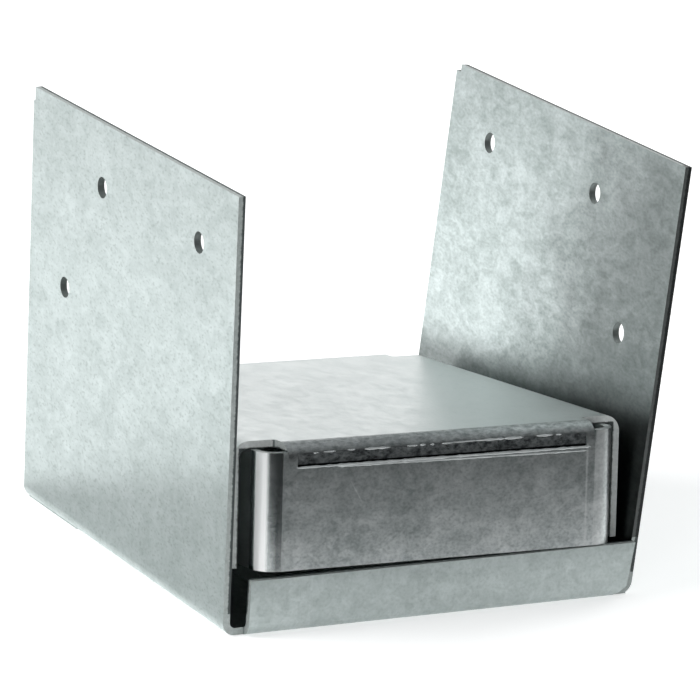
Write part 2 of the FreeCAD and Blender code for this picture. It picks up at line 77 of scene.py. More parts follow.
# %% Camera
FILM = 36.0  # sensor width, mm
LENS = 276.34  # focal length, mm
AIM = Vector((3.38, -0.70, 41.99)) * MM
DISTANCE = 1111.34 * MM
AZIMUTH = math.radians(28.41)
ELEVATION = math.radians(15.51)
ROLL = math.radians(3.59)


def look_axes(azimuth, elevation, roll):
    """The camera's right, up and backward directions."""
    forward = Vector((
        math.sin(azimuth) * math.cos(elevation),
        math.cos(azimuth) * math.cos(elevation),
        -math.sin(elevation),
    ))
    level = Vector((math.cos(azimuth), -math.sin(azimuth), 0))
    upward = level.cross(forward)
    right = level * math.cos(roll) + upward * math.sin(roll)
    up = upward * math.cos(roll) - level * math.sin(roll)
    return right, up, -forward


right, up, back = look_axes(AZIMUTH, ELEVATION, ROLL)
turn = Matrix((right, up, back)).transposed().to_4x4()
camera_data = bpy.data.cameras.new("camera")
camera_data.sensor_width = FILM
camera_data.lens = LENS
camera_data.clip_start = 0.05
camera_data.clip_end = 50.0
camera = bpy.data.objects.new("camera", camera_data)
bpy.context.scene.collection.objects.link(camera)
camera.matrix_world = Matrix.Translation(AIM + back * DISTANCE) @ turn
bpy.context.scene.camera = camera
print("camera at, mm:", [round(value / MM) for value in camera.matrix_world.translation])

# %% [markdown]
# ## Colours and nodes
# Every finish here is a tree of shader nodes. Nodes can be wired by hand in the editor, but a
# script can give each number a name and a comment. One function adds a node of any kind. Another
# turns a colour picked on a screen, an sRGB hex value, into the linear light that shaders work
# in.

# %% Colours and nodes
COLOUR = {"data_type": "RGBA"}  # a Mix node mixes numbers unless it is told to mix colours


def linear(hex_colour):
    """An sRGB hex colour as linear red, green, blue and alpha."""
    channels = [int(hex_colour[i:i + 2], 16) / 255 for i in (1, 3, 5)]
    return [c / 12.92 if c <= 0.04045 else ((c + 0.055) / 1.055) ** 2.4 for c in channels] + [1.0]


def add_node(tree, kind, settings=None, **links):
    """Adds a node, sets its properties, then fills its inputs, named or numbered as in _0.

    An input takes a value, a socket, or another node, which stands for its first live output.
    """
    node = tree.nodes.new("ShaderNode" + kind)
    for name, value in (settings or {}).items():
        setattr(node, name, value)
    for name, value in links.items():
        name = name.replace("_", " ").strip()
        if name.isdigit():
            socket = node.inputs[int(name)]
        else:
            socket = next(item for item in node.inputs if item.enabled and item.name == name)
        if isinstance(value, bpy.types.Node):
            value = next(output for output in value.outputs if output.enabled)
        if isinstance(value, bpy.types.NodeSocket):
            tree.links.new(value, socket)
        else:
            socket.default_value = value
    return node


def new_material(name):
    """An empty node material and its tree."""
    material = bpy.data.materials.new(name)
    material.use_nodes = True
    material.node_tree.nodes.clear()
    return material, material.node_tree


print("middle grey in linear light:", [round(channel, 3) for channel in linear("#808080")])

# %% [markdown]
# ## Patches
# Each part is one mesh, but its coat, its cut edges and its rubbed places all look different. The
# faces could be sorted into several materials, but a finish on real metal fades into the next one
# and doesn't stop at the edge of a face. So each place gets a mask, a number that is 1 there and
# 0 elsewhere, worked out from where a point is and which way the surface looks.

# %% Patches
SOFT = 0.06 * MM  # half of the width over which the end of a patch fades
# limits on a direction: it looks nearly straight along an axis, or straight the other way
ALONG = 0.9, None, 0.05
AGAINST = None, -0.9, 0.05


def patch(tree, *limits):
    """A mask that is 1 where every value lies between its two limits.

    Each limit is a value, its lowest and its highest, where None leaves that end open, and then
    how softly the patch ends if that isn't SOFT.
    """
    ends = []
    for value, low, high, *soft in limits:
        fade = soft[0] if soft else SOFT
        for limit, rise in ((low, fade), (high, -fade)):
            if limit is not None:
                ends.append(add_node(
                    tree, "MapRange", Value=value, From_Min=limit - rise, From_Max=limit + rise
                ))
    mask = ends.pop(0)
    for end in ends:
        mask = add_node(tree, "Math", {"operation": "MULTIPLY"}, _0=mask, _1=end)
    return mask


def axes(tree, vector):
    """The three components of a vector, and the size of each without its sign."""
    signed = add_node(tree, "SeparateXYZ", Vector=vector).outputs
    sizes = add_node(tree, "VectorMath", {"operation": "ABSOLUTE"}, _0=vector)
    return signed, add_node(tree, "SeparateXYZ", Vector=sizes).outputs


print("a patch fades over", 2 * SOFT / MM, "mm")

# %% [markdown]
# ## The zinc coat
# The sheet is mill galvanised: it runs through a bath of molten zinc and is then rolled, so it
# has no big crystals. What is left is a pale, slightly green grey with soft clouds a centimetre
# across, a mottle of two or three millimetres, a fine grain, and small darker flecks in that
# grain, drawn out a little along the way the sheet was rolled. A painted picture could show that,
# but noise needs no picture, runs over the folds with no seam, and is sized in millimetres. Zinc
# is a metal, so colour alone would look like paint: the mottle also changes the roughness, and
# mottle and grain raise the surface by a few hundredths of a millimetre.

# %% Zinc coat
CLOUD = 11 * MM
MOTTLE = 2.6 * MM
GRAIN = 0.55 * MM  # really under 0.1 mm, and drawn coarser so that it shows


def zinc_coat(tree, place, rolled, zinc, contrast, flecks):
    """The coat's colour, roughness and relief.

    Rolled is the scale of the mottle along each axis, below 1 where rolling drew it out. Zinc is
    the pale, the dull and the flecks' colour, and flecks is how strongly they show.
    """
    pale, dull, fleck = [linear(colour) for colour in zinc]
    drawn = add_node(tree, "Mapping", Vector=place, Scale=rolled)
    cloud = add_node(tree, "TexNoise", Vector=place, Scale=1 / CLOUD, Detail=3.0, Roughness=0.55)
    mottle = add_node(
        tree, "TexNoise", Vector=drawn, Scale=1 / MOTTLE, Detail=4.0, Roughness=0.6, Distortion=0.9
    )
    grain = add_node(tree, "TexNoise", Vector=drawn, Scale=1 / GRAIN, Detail=1.0, Roughness=0.5)

    # noise keeps near its middle, so each layer is spread out before they are mixed
    wide = add_node(tree, "MapRange", Value=cloud, From_Min=0.36, From_Max=0.64)
    small = add_node(tree, "MapRange", Value=mottle, From_Min=0.34, From_Max=0.66)
    fine = add_node(tree, "MapRange", Value=grain, From_Min=0.3, From_Max=0.7)
    tone = add_node(tree, "Mix", Factor=0.6, A=wide, B=small)
    tone = add_node(tree, "Mix", Factor=0.3, A=tone, B=fine)
    tone = add_node(tree, "Math", {"operation": "SUBTRACT"}, _0=tone, _1=0.5)
    tone = add_node(tree, "Math", {"operation": "MULTIPLY_ADD"}, _0=tone, _1=contrast, _2=0.5)
    # unclamped, so that a contrast above 1 goes past the pale and the dull
    colour = add_node(
        tree, "Mix", {"data_type": "RGBA", "clamp_factor": False}, Factor=tone, A=pale, B=dull
    )
    specks = add_node(tree, "MapRange", Value=grain, From_Min=0.59, From_Max=0.72)
    specks = add_node(tree, "Math", {"operation": "MULTIPLY"}, _0=specks, _1=flecks)
    colour = add_node(tree, "Mix", COLOUR, Factor=specks, A=colour, B=fleck)
    rough = add_node(tree, "MapRange", Value=small, To_Min=0.33, To_Max=0.42)
    relief = add_node(tree, "Mix", Factor=0.35, A=mottle, B=grain)
    return colour, rough, relief


print("clouds, mottle and grain in mm:", [round(size / MM, 2) for size in (CLOUD, MOTTLE, GRAIN)])

# %% [markdown]
# ## Coated metal
# The zinc is uneven by a few hundredths of a millimetre, enough to blur what it mirrors. Real
# displacement would need millions of faces for that, so the relief goes into a bump node, which
# only tilts the light. All three parts end in this same way: the bump, and then a metal that
# keeps its usual index of refraction, because what a metal mirrors is tinted by its colour alone.

# %% Coated metal
RELIEF = 0.03 * MM


def coated_metal(tree, colour, metallic, rough, relief):
    """Ends a material as coated steel, with its relief drawn as bump."""
    bump = add_node(tree, "Bump", Strength=0.25, Distance=RELIEF, Height=relief)
    metal = add_node(
        tree, "BsdfPrincipled", Base_Color=colour, Metallic=metallic, Roughness=rough, Normal=bump
    )
    add_node(tree, "OutputMaterial", Surface=metal)


print("relief in mm:", RELIEF / MM)

# %% [markdown]
# ## Sheared edges
# Shears and punches part a sheet in two stages: first they burnish a bright band, smeared with
# zinc from the coat, and then the rest tears and stays dull, dark and rough. So a cut edge isn't
# one grey but two stripes with a ragged line between them. The stripes could be cut into the
# mesh, but the parts' meshes stay as they are, and a mask by depth in the sheet does it. Smeared
# zinc and torn steel scatter light, so an edge is far less of a mirror than a face: most of it is
# matt grey.

# %% Sheared edge
SHEET = 1.5 * MM
EDGE_METAL = 0.2  # share of mirror in a cut edge
TORN_GRAIN = 0.7 * MM
TORN_STEEL = "#4a5050"
RAGGED = 0.25 * MM  # how far the line between the stripes wanders
DEEPEST = 3 * SHEET  # what is deeper than this isn't in the edge of one sheet


def sheared_edge(tree, place, depth, bright_share, pale, dull):
    """A cut edge's colour, and the mask of its torn stripe.

    Depth runs from one face of the sheet to the other, and bright_share of it is burnished.
    """
    grain = add_node(
        tree, "TexNoise", Vector=place, Scale=1 / TORN_GRAIN, Detail=3.0, Roughness=0.6
    )
    wander = add_node(tree, "MapRange", Value=grain, To_Min=-RAGGED, To_Max=RAGGED)
    ragged = add_node(tree, "Math", {"operation": "ADD"}, _0=depth, _1=wander)
    torn = patch(tree, (ragged, bright_share * SHEET, DEEPEST, 0.1 * MM))
    bright = add_node(tree, "Mix", COLOUR, Factor=grain, A=linear(pale), B=linear(dull))
    colour = add_node(tree, "Mix", COLOUR, Factor=torn, A=bright, B=linear(TORN_STEEL))
    return colour, torn


print("sheet thickness in mm:", SHEET / MM)

# %% [markdown]
# ## The base bracket's cut faces
# The bracket is one strip of mill galvanised sheet: cut out and punched flat, then folded up into
# two legs and two lips. Galvanising came before cutting, so the cut faces have no coat. The solid
# part doesn't say which faces those are, but the folding does: above the lips, every face that
# doesn't look sideways is a cut one. Lower down, they are the ends of the legs and of the floor
# beside the lips, and the lips' own ends and tops. So a few patches find them all, and none has
# to be picked by hand.

# %% Base bracket's cut faces
LEG_END = 48.0 * MM  # from the middle to a leg's front or back edge
LIP_START = LEG_END + 0.4 * MM
NEAR = 0.3 * MM  # how near a face has to be to count as that end
ABOVE_LIPS = 14.0 * MM
LIP_TOP = 11.0 * MM, 12.5 * MM
UNLESS_SIDEWAYS = None, 0.6, 0.1

# mill galvanised steel: dipped in molten zinc and rolled, which gives a pale, soft, mottled shine
bracket_steel, tree = new_material("mill_galvanised_bracket_steel")
coordinates = add_node(tree, "TexCoord").outputs
place = coordinates["Object"]
(x, y, z), (_, y_size, _) = axes(tree, place)
(x_way, _, z_way), (side_on, end_on, _) = axes(tree, coordinates["Normal"])

leg_cuts = patch(tree, (z, ABOVE_LIPS, None), (side_on, *UNLESS_SIDEWAYS))
leg_ends = patch(tree, (y_size, LEG_END - NEAR, LEG_END + NEAR), (end_on, *ALONG))
lip_ends = patch(tree, (y_size, LIP_START, None), (side_on, *ALONG))
lip_tops = patch(tree, (y_size, LIP_START, None), (z_way, *ALONG), (z, *LIP_TOP))
cut = leg_cuts
for more in (leg_ends, lip_ends, lip_tops):
    cut = add_node(tree, "Math", {"operation": "MAXIMUM"}, _0=cut, _1=more)
print("nodes that find the bracket's cut faces:", len(tree.nodes))

# %% [markdown]
# ## How deep in the sheet
# The two stripes of a cut edge need to know how deep in the sheet a point lies. An unwrapped map
# could carry that, but a leg is flat, so the depth is simply the distance across it: a dot
# product with the direction in which the leg's face looks. The legs lean out, the right one more.
# The left leg's bright stripe is at its outer face, and the right leg's is thinner and at its
# inner face, so the depth is counted from the outside on the left and from the inside on the
# right.

# %% Depth in the bracket's sheet
POST_HALF = 45.25 * MM  # from the middle to a leg's inner face at the floor
LEFT_LEAN, RIGHT_LEAN = math.radians(1.2), math.radians(4.3)
RIGHT_START = 1.3 * SHEET  # leaves about a third of the right leg's edge bright
FLOOR_BEND = 4.5 * MM  # the floor's bend is up to this high, and its edge is all bright
LIP_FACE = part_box("base_bracket")[1].y

leg_depths = []
for lean, side in ((LEFT_LEAN, 1), (RIGHT_LEAN, -1)):
    inward = (side * math.cos(lean), 0, math.sin(lean))
    across = add_node(tree, "VectorMath", {"operation": "DOT_PRODUCT"}, _0=place, _1=inward)
    reach = (POST_HALF + SHEET) * math.cos(lean)
    leg_depths.append(add_node(tree, "Math", {"operation": "ADD"}, _0=across, _1=reach))
left_depth, right_depth = leg_depths
right_depth = add_node(tree, "Math", {"operation": "SUBTRACT"}, _0=RIGHT_START, _1=right_depth)
lip_depth = add_node(tree, "Math", {"operation": "SUBTRACT"}, _0=LIP_FACE, _1=y_size)

right_side = patch(tree, (x, 0, None))
beside_lip = patch(tree, (y_size, LIP_START, None))
depth = add_node(tree, "Mix", Factor=right_side, A=left_depth, B=right_depth)
depth = add_node(tree, "Mix", Factor=beside_lip, A=depth, B=lip_depth)
above_bend = patch(tree, (z, FLOOR_BEND, None))
depth = add_node(tree, "Math", {"operation": "MULTIPLY"}, _0=depth, _1=above_bend)
print("outer face of the lips at, mm:", round(LIP_FACE / MM, 2))

# %% [markdown]
# ## The base bracket's coat
# One coat lies all over the bracket, but it doesn't look the same all over. The right leg's
# mottle is stronger, and only the left leg's outer face shows the flecks well. Two materials
# would leave a seam at the floor, so the contrast and the flecks of one coat are changed by
# patches.

# %% Base bracket's coat
BRACKET_ZINC = "#c8d1d0", "#b0bab8", "#9aa4a2"
LEFT_CONTRAST, RIGHT_CONTRAST = 1.1, 2.1
FEW_FLECKS, MANY_FLECKS = 0.12, 0.5
OVER_LIPS = 13 * MM  # the lips keep the left leg's contrast

right_leg = patch(tree, (x, 0, None), (z, OVER_LIPS, None))
contrast = add_node(
    tree, "MapRange", Value=right_leg, To_Min=LEFT_CONTRAST, To_Max=RIGHT_CONTRAST
)
left_leg = patch(tree, (x, None, -POST_HALF), (y_size, None, LEG_END))
flecks = add_node(tree, "Mix", Factor=left_leg, A=FEW_FLECKS, B=MANY_FLECKS)
coat, coat_rough, relief = zinc_coat(
    tree, place, rolled=(1.0, 0.55, 1.0), zinc=BRACKET_ZINC, contrast=contrast, flecks=flecks
)
print("nodes after the bracket's coat:", len(tree.nodes))

# %% [markdown]
# ## The left leg's foot, with painted shade
# Shade is painted into the coat of the left leg's foot, below a line that rises towards the front,
# where the leg mirrors the darker floor beside it. It could be painted by hand, but a slanted line
# with some noise on it gives a soft, uneven border from three numbers. Its tone is what the coat's
# brightness is multiplied by: below 1 is darker.

# %% Left leg's foot
BLOTCH = 9 * MM  # across one blotch of the noise that frays the painted shade's borders
FOOT_SLANT = 0.302  # how far the line rises for each millimetre forward
FOOT_SHADE_LINE = 16 * MM, 22 * MM  # the patch fades out between these heights, halfway along the leg
FOOT_SHADE_TONE = 0.84
FOOT_STRAY = 3 * MM  # how far the noise moves the line

blotches = add_node(tree, "TexNoise", Vector=place, Scale=1 / BLOTCH, Detail=3.0)
line = add_node(tree, "Math", {"operation": "MULTIPLY_ADD"}, _0=y, _1=FOOT_SLANT, _2=z)
line = add_node(tree, "Math", {"operation": "MULTIPLY_ADD"}, _0=blotches, _1=FOOT_STRAY, _2=line)
# painted shade: the coat below the slanted line is darkened
foot = add_node(
    tree, "MapRange", Value=line, From_Min=FOOT_SHADE_LINE[0], From_Max=FOOT_SHADE_LINE[1], To_Min=FOOT_SHADE_TONE,
    To_Max=1.0,
)
left_outside = patch(tree, (x, None, 0), (x_way, *AGAINST))
foot = add_node(tree, "Mix", Factor=left_outside, A=1.0, B=foot)
print("the left leg's foot is dulled to", FOOT_SHADE_TONE)

# %% [markdown]
# ## The right leg's inner face, with painted shade
# Shade is painted into this face's coat round a spot low at its front edge, where it mirrors the
# bracket's dark insides, and a little painted light further off. The painted shade is darkest just
# above the pan, where little light gets in. The room alone could shade it a little, but not so
# softly and not on this face only. So its tone follows the distance from the spot, moved about by
# the same noise, and is multiplied by a dark border that runs up with the tipped deck.

# %% Right leg's inner face
SHADE_SPOT = 48 * MM, -52 * MM, 45 * MM
SHADE_REACH = 38 * MM, 88 * MM  # distances from the spot over which the patch fades out
SHADE_STRAY = 24 * MM  # how far the noise moves its border
SPOT_SHADE_TONE, FAR_LIGHT_TONE = 0.46, 1.14
DECK_SLANT = 0.112  # how far the tipped deck rises for each millimetre forward
PAN_SHADE_LINE = 30 * MM, 40 * MM
PAN_SHADE_TONE = 0.4

# painted shade round a spot low at the front edge, and painted light further from it
from_spot = add_node(tree, "VectorMath", {"operation": "DISTANCE"}, _0=place, _1=SHADE_SPOT)
from_spot = add_node(
    tree, "Math", {"operation": "MULTIPLY_ADD"}, _0=blotches, _1=SHADE_STRAY, _2=from_spot
)
shaded = add_node(
    tree, "MapRange", {"interpolation_type": "SMOOTHSTEP"}, Value=from_spot,
    From_Min=SHADE_REACH[0], From_Max=SHADE_REACH[1], To_Min=SPOT_SHADE_TONE, To_Max=FAR_LIGHT_TONE,
)
# painted shade just above the pan
above_deck = add_node(tree, "Math", {"operation": "MULTIPLY_ADD"}, _0=y, _1=DECK_SLANT, _2=z)
pan_shade = add_node(
    tree, "MapRange", {"interpolation_type": "SMOOTHSTEP"}, Value=above_deck,
    From_Min=PAN_SHADE_LINE[0], From_Max=PAN_SHADE_LINE[1], To_Min=PAN_SHADE_TONE, To_Max=1.0,
)
shaded = add_node(tree, "Math", {"operation": "MULTIPLY"}, _0=shaded, _1=pan_shade)
right_inside = patch(tree, (x, 0, None), (x_way, *AGAINST))
inside = add_node(tree, "Mix", Factor=right_inside, A=1.0, B=shaded)
print("the right leg's inside is dulled to", SPOT_SHADE_TONE, "and just above the pan by", PAN_SHADE_TONE)

# %% [markdown]
# ## The tops of the legs, and the lips
# Both legs get a little darker towards their tops, the right one more. The lips get painted shade,
# a tone darker than the legs, for the dim floor in front that they mirror. One tone is worked out
# for the whole bracket before the coat is touched, so that its colour is multiplied only once.

# %% Tops of the legs, and the lips
TOP_LINE = 55 * MM, 88 * MM
LEFT_TOP_TONE, RIGHT_TOP_TONE = 0.85, 0.76
LIP_SHADE_TONE = 0.84

top_tone = add_node(tree, "Mix", Factor=right_side, A=LEFT_TOP_TONE, B=RIGHT_TOP_TONE)
upper = add_node(
    tree, "MapRange", Value=z, From_Min=TOP_LINE[0], From_Max=TOP_LINE[1], To_Min=1.0,
    To_Max=top_tone,
)
# painted shade: the lips a tone darker than the legs
tone = add_node(tree, "Mix", Factor=beside_lip, A=upper, B=LIP_SHADE_TONE)
for patch_tone in (foot, inside):
    tone = add_node(tree, "Math", {"operation": "MULTIPLY"}, _0=tone, _1=patch_tone)
coat = add_node(tree, "VectorMath", {"operation": "SCALE"}, _0=coat, Scale=tone)
print("the legs fade to", LEFT_TOP_TONE, "and", RIGHT_TOP_TONE, "at their tops")

# %% [markdown]
# ## The base bracket's edges
# The legs' edges and the walls of the nail holes are cut, and lie bare beside the coat. A punch
# slides along a hole's wall and polishes it more than shears do an edge, so the wall mirrors
# more, and it is one even grey. The right leg's front and back edges get painted shade that makes
# them much darker than the left's, as they face away from the light. Separate materials for all
# these would end hard at a face's border, so patches lay them over the coat.

# %% Base bracket's edges
HOLES = 20 * MM, 87 * MM  # heights between which all the nail holes lie
HOLES_REACH = 46.5 * MM  # from the middle, past the outermost hole
HOLE_WALL, WALL_METAL = "#858c8a", 0.68
EDGE_START = 12 * MM  # height above which the right leg's edges get painted shade
EDGE_SHADE_TONE = 0.22

edge, torn = sheared_edge(tree, place, depth, bright_share=0.66, pale="#c3cac8", dull="#8b9290")
hole_walls = patch(tree, (z, *HOLES), (y_size, None, HOLES_REACH), (side_on, *UNLESS_SIDEWAYS))
edge = add_node(tree, "Mix", COLOUR, Factor=hole_walls, A=edge, B=linear(HOLE_WALL))
# painted shade on the right leg's front and back edges
right_edges = patch(tree, (x, 0, None), (y_size, HOLES_REACH, None), (z, EDGE_START, None))
dark = add_node(tree, "MapRange", Value=right_edges, To_Min=1.0, To_Max=EDGE_SHADE_TONE)
edge = add_node(tree, "VectorMath", {"operation": "SCALE"}, _0=edge, Scale=dark)
edge_rough = add_node(tree, "MapRange", Value=torn, To_Min=0.4, To_Max=0.6)
edge_metal = add_node(tree, "Mix", Factor=hole_walls, A=EDGE_METAL, B=WALL_METAL)

coated_metal(
    tree,
    colour=add_node(tree, "Mix", COLOUR, Factor=cut, A=coat, B=edge),
    metallic=add_node(tree, "Mix", Factor=cut, A=1.0, B=edge_metal),
    rough=add_node(tree, "Mix", Factor=cut, A=coat_rough, B=edge_rough),
    relief=relief,
)
print(bracket_steel.name, "has", len(tree.nodes), "nodes")

# %% [markdown]
# ## The standoff pan's own axes
# The pan is an upturned tray of the same sheet: a deck, flanges on four sides, and ears on the
# front and back flanges that wrap round the corners. It lies tipped and turned in the bracket, so
# the bracket's axes can't tell its faces apart. The part could be laid level for that, but then
# it would no longer be in its place. Instead a Mapping node of the texture kind takes each point
# back to where it was on the level pan, and another does the same for the directions.

# %% Standoff pan's axes
PAN_PLACE = Vector((-0.3, -4.8616, 7.4694)) * MM
PAN_TURN = Euler([math.radians(angle) for angle in (-6.3945, 1.1, 0.6)])

# mill galvanised steel again, from the same coil, so with the same soft, mottled shine
pan_steel, tree = new_material("mill_galvanised_pan_steel")
coordinates = add_node(tree, "TexCoord").outputs
place = add_node(
    tree, "Mapping", {"vector_type": "TEXTURE"}, Vector=coordinates["Object"], Location=PAN_PLACE,
    Rotation=PAN_TURN,
)
way = add_node(
    tree, "Mapping", {"vector_type": "TEXTURE"}, Vector=coordinates["Normal"], Rotation=PAN_TURN
)
(x, y, z), (x_size, y_size, _) = axes(tree, place)
(_, y_way, _), (side_on, end_on, _) = axes(tree, way)
print("the pan is tipped by", round(math.degrees(-PAN_TURN.x), 2), "degrees")

# %% [markdown]
# ## The standoff pan's cut faces
# Cut sheet shows in two places on the pan: at the ends of the side flanges, and at the ends of
# the front and back folds. Its depth could be found for each flange by itself, but a point is
# always in the top sheet or in a side one, so the smaller of its depths in the two is the right
# one for all.

# %% Standoff pan's cut faces
PAN_TOP = 25.4 * MM
FLANGE_FACE = 44.4 * MM  # from the middle to a side flange's outer face
CUT_END = 39.6 * MM  # from the middle to the cut end of a side flange
FOLD_HALF = 35.1 * MM  # from the middle to the end of the front fold
CLOSE = 0.2 * MM  # how near a face has to be to count as that end

deck_ends = patch(tree, (y_size, CUT_END - CLOSE, CUT_END + CLOSE), (end_on, *ALONG))
fold_ends = patch(
    tree, (x_size, FOLD_HALF - CLOSE, FOLD_HALF + CLOSE), (side_on, *ALONG),
    (y_size, CUT_END, None),
)
cut = add_node(tree, "Math", {"operation": "MAXIMUM"}, _0=deck_ends, _1=fold_ends)
from_side = add_node(tree, "Math", {"operation": "SUBTRACT"}, _0=FLANGE_FACE, _1=x_size)
from_top = add_node(tree, "Math", {"operation": "SUBTRACT"}, _0=PAN_TOP, _1=z)
depth = add_node(tree, "Math", {"operation": "MINIMUM"}, _0=from_side, _1=from_top)
print("nodes that find the pan's cut faces:", len(tree.nodes))

# %% [markdown]
# ## The standoff pan's coat
# The deck's coat is pale and even. The front and back flanges show more mottle, and carry painted
# shade that darkens them from their foot up to the fold, with a little painted light at the foot,
# for the graded floor in front that they mirror. Two materials would meet in a hard line, so both
# coats are made in one material and change over inside the bend, where the eye expects a change.

# %% Standoff pan's coat
PAN_HALF = 45.8 * MM  # from the middle to the front flange's outer face
FOLD_RADIUS = 3.5 * MM
DECK_ZINC = "#f6fbfa", "#ecf3f2", "#d6dedd"
FLANGE_ZINC = "#e6ebeb", "#b2baba", "#a4acac"
FLANGE_FOOT, FLANGE_HEAD = 3 * MM, 22 * MM
FLANGE_FOOT_LIGHT, FLANGE_HEAD_SHADE = 1.1, 0.82

deck, coat_rough, relief = zinc_coat(
    tree, place, rolled=(0.7, 0.4, 1.0), zinc=DECK_ZINC, contrast=0.5, flecks=0.15
)
flange, _, _ = zinc_coat(
    tree, place, rolled=(0.8, 1.0, 1.0), zinc=FLANGE_ZINC, contrast=1.5, flecks=0.2
)
# painted shade up the front and back flanges, and painted light at their foot
flange_shade = add_node(
    tree, "MapRange", Value=z, From_Min=FLANGE_FOOT, From_Max=FLANGE_HEAD,
    To_Min=FLANGE_FOOT_LIGHT, To_Max=FLANGE_HEAD_SHADE,
)
flange = add_node(tree, "VectorMath", {"operation": "SCALE"}, _0=flange, Scale=flange_shade)
end_flanges = patch(tree, (y_size, PAN_HALF - FOLD_RADIUS, None))
coat = add_node(tree, "Mix", COLOUR, Factor=end_flanges, A=deck, B=flange)
print("nodes after the pan's coat:", len(tree.nodes))

# %% [markdown]
# ## The rubbed fold and the scraped band
# The folding die slid along the front fold under great pressure. It rubbed the fold's zinc dull,
# and wiped a shallow band into it, down to dark, scored alloy. A narrow black line along the
# band's foot is painted shade, for the shaded corner where the band's ground meets its lower
# ledge. The band's recess is in the solid part. Its ground could be a flat grey, but the scores
# are what tells scraped metal from paint, so both grounds share one noise, drawn out along the
# fold.

# %% Rubbed fold and scraped band
SCORE = 0.9 * MM
BAND_FOOT = 20.7 * MM
BAND_DEPTH = 0.3 * MM
BAND_HALF = 33.1 * MM
BAND_SHADE_WIDTH = 0.45 * MM
FOLD_FADE = 0.5 * MM  # the rub thins out down the fold
BAND_GROUND = 0.6 * BAND_DEPTH - PAN_HALF, 2 * BAND_DEPTH - PAN_HALF
STRAIGHT_AHEAD = None, -0.9, 0.02

front = y, None, FOLD_RADIUS - PAN_HALF  # the limit that keeps a patch on the front flange
fold = patch(
    tree, front, (z, PAN_TOP - FOLD_RADIUS, None, FOLD_FADE), (x_size, None, FOLD_HALF)
)
band = patch(
    tree, (y, *BAND_GROUND), (z, BAND_FOOT, PAN_TOP), (x_size, None, BAND_HALF),
    (y_way, *STRAIGHT_AHEAD),
)
drawn = add_node(tree, "Mapping", Vector=place, Scale=(0.6, 1.0, 1.0))
scores = add_node(tree, "TexNoise", Vector=drawn, Scale=1 / SCORE, Detail=3.0, Roughness=0.65)
scores = add_node(tree, "MapRange", Value=scores, From_Min=0.35, From_Max=0.7)
rubbed = add_node(tree, "Mix", COLOUR, Factor=scores, A=linear("#e0e4e4"), B=linear("#9fa5a6"))
scraped = add_node(tree, "Mix", COLOUR, Factor=scores, A=linear("#4a4e50"), B=linear("#a9aeaf"))
# painted shade: a black line along the band's foot
band_foot_shade = patch(tree, (z, None, BAND_FOOT + BAND_SHADE_WIDTH))
scraped = add_node(tree, "Mix", COLOUR, Factor=band_foot_shade, A=scraped, B=linear("#16181a"))
print("the band is", round(2 * BAND_HALF / MM, 1), "mm long and", BAND_DEPTH / MM, "mm deep")

# %% [markdown]
# ## Tool polish, a scratch and painted highlights
# The ears were folded round a steel block, which polished the left ear's bend. Painted highlights
# lie on the front flange as pale, matt patches: a strong one beside that bend, a faint one down
# the right bend, and two faint lines beside it. There is one short, slanted scratch too. Such
# marks could be thin pieces of mesh, but they have no height, so each is a narrow patch, and the
# faint ones count for a quarter.

# %% Tool marks
LEFT_BEND = -41 * MM, -36.3 * MM
BEND_START = 40.5 * MM  # from the middle, forward or back
LEFT_HIGHLIGHT = -41.5 * MM, -39.1 * MM, 0.3 * MM
RIGHT_HIGHLIGHT = 35.4 * MM, 38.3 * MM, 0.2 * MM
HIGHLIGHT_LINES = (33.1 * MM, 33.5 * MM, 0.15 * MM), (35.1 * MM, 35.5 * MM, 0.1 * MM)
LINE_TOP = BAND_FOOT + 0.5 * MM
SCRATCH_ACROSS = 0.857, 0, 0.514  # the direction across the scratch
SCRATCH_SIDES = -9.38 * MM, -9.18 * MM, 0.05 * MM
SCRATCH_ENDS = 12.8 * MM, 17.3 * MM, 0.5 * MM
FAINT = 0.25

polished = patch(tree, (x, *LEFT_BEND), (y_size, BEND_START, None))
# painted highlight: a pale matt patch beside the left ear's bend
highlights_and_scratch = patch(tree, front, (x, *LEFT_HIGHLIGHT))
across = add_node(tree, "VectorMath", {"operation": "DOT_PRODUCT"}, _0=place, _1=SCRATCH_ACROSS)
# faint painted highlights, and the scratch
faint_highlights_and_scratch = [patch(tree, front, (z, None, LINE_TOP), (x, *line)) for line in HIGHLIGHT_LINES]
faint_highlights_and_scratch.append(patch(tree, front, (x, *RIGHT_HIGHLIGHT)))
faint_highlights_and_scratch.append(patch(tree, front, (across, *SCRATCH_SIDES), (z, *SCRATCH_ENDS)))
for mark in faint_highlights_and_scratch:
    mark = add_node(tree, "Math", {"operation": "MULTIPLY"}, _0=mark, _1=FAINT)
    highlights_and_scratch = add_node(tree, "Math", {"operation": "MAXIMUM"}, _0=highlights_and_scratch, _1=mark)
print("faint marks on the front flange:", len(faint_highlights_and_scratch))

# %% [markdown]
# ## The standoff pan's layers
# On the real pan the coat came first, the cuts next, and the folding with its rubs last, and the
# painted highlights and the scratch go on top of all. A finish could be picked for each point by
# one long formula, but layers are easier to follow: each is mixed over the ones before it by its
# own mask, and can be changed without touching the rest. The edges are laid over the fold, so that
# its rub doesn't spill onto its cut ends.

# %% Standoff pan's layers
POLISHED_ROUGH, WORKED_ROUGH = 0.2, 0.45

edge, _ = sheared_edge(tree, place, depth, bright_share=0.9, pale="#f4f6f5", dull="#c2c8c6")
colour, rough = coat, coat_rough
